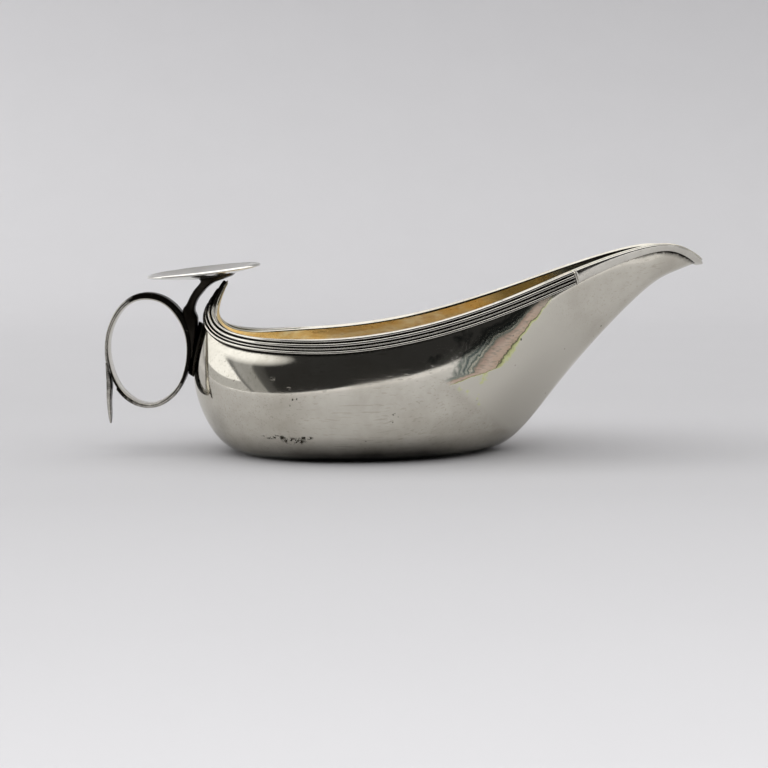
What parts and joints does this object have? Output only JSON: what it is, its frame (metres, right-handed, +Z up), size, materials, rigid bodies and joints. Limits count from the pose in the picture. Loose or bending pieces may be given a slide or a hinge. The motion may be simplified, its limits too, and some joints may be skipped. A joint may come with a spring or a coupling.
{
  "type": "sauce boat",
  "caption": "Small silver sauce boat: flat-based boat-shaped bowl, gilt inside, long rising spout, reeded rim band and a finger ring handle with a thumb plate.",
  "frame": {"origin": "centre of the flat base on the plane of symmetry, at the surface it stands on", "axes": "+X toward the spout, +Z up, +Y to the left when looking along the spout"},
  "size_m": [0.1914, 0.0672, 0.0662],
  "materials": {
    "polished_silver": "hand-polished silver with fine scratches and light tarnish; the inside of the bowl is gilt",
    "tarnished_silver": "silver darkened by tarnish where polishing cloths don't reach"
  },
  "bodies": {
    "root": {"hull": "polished_silver", "reeded_band_left": "polished_silver", "reeded_band_right": "polished_silver", "band_stop_left": "polished_silver", "band_stop_right": "polished_silver", "lip_band": "polished_silver", "mount_pad": "tarnished_silver", "handle_ring": "polished_silver", "thumb_stem": "tarnished_silver", "thumb_plate": "polished_silver", "tail_spur": "tarnished_silver"}
  },
  "joints": []
}
